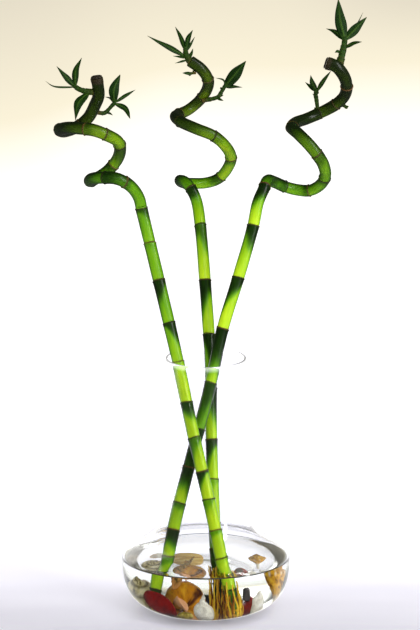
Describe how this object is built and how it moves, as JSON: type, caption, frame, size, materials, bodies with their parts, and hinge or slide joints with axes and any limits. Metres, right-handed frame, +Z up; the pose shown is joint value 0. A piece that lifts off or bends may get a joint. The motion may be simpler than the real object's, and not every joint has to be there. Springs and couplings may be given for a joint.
{
  "type": "lucky bamboo in a vase",
  "caption": "Curly-topped lucky bamboo canes with small leafy shoots, standing in a clear glass vase with water, shells and stones.",
  "frame": {"origin": "centre of the vase's flat foot", "axes": "+Z up along the vase's axis, -Y towards the picture's viewer, +X to the picture's right"},
  "size_m": [0.3256, 0.2138, 0.6111],
  "materials": {
    "vase_glass": "gloss",
    "water": "gloss",
    "cane": "satin",
    "cut_seal": "matte",
    "leaf": "satin",
    "root": "matte",
    "shell_amber": "satin",
    "shell_cream": "satin",
    "shell_olive": "satin",
    "stone_red": "gloss",
    "stone_dark": "satin"
  },
  "bodies": {
    "root": {"vase": "vase_glass", "water": "water", "cane_left": "cane", "cane_middle": "cane", "cane_right": "cane", "end_seal_left": "cut_seal", "end_seal_right": "cut_seal", "shoot_left_upper": "leaf", "shoot_left_side": "leaf", "shoot_middle_tip": "leaf", "shoot_middle_side": "leaf", "scale_leaf_middle": "leaf", "shoot_right_top": "leaf", "shoot_right_side": "leaf", "bud_right": "leaf", "roots_left": "root", "roots_middle": "root", "roots_right": "root", "shell_whelk": "shell_amber", "shell_turret": "shell_amber", "shell_fan": "shell_amber", "shell_cockle": "shell_cream", "shell_snail": "shell_cream", "shell_knobbed": "shell_amber", "shell_turban": "shell_olive", "shell_curl": "shell_cream", "shell_fragment": "shell_cream", "stone_red_left": "stone_red", "stone_red_right": "stone_red", "stone_dark": "stone_dark"}
  },
  "joints": []
}
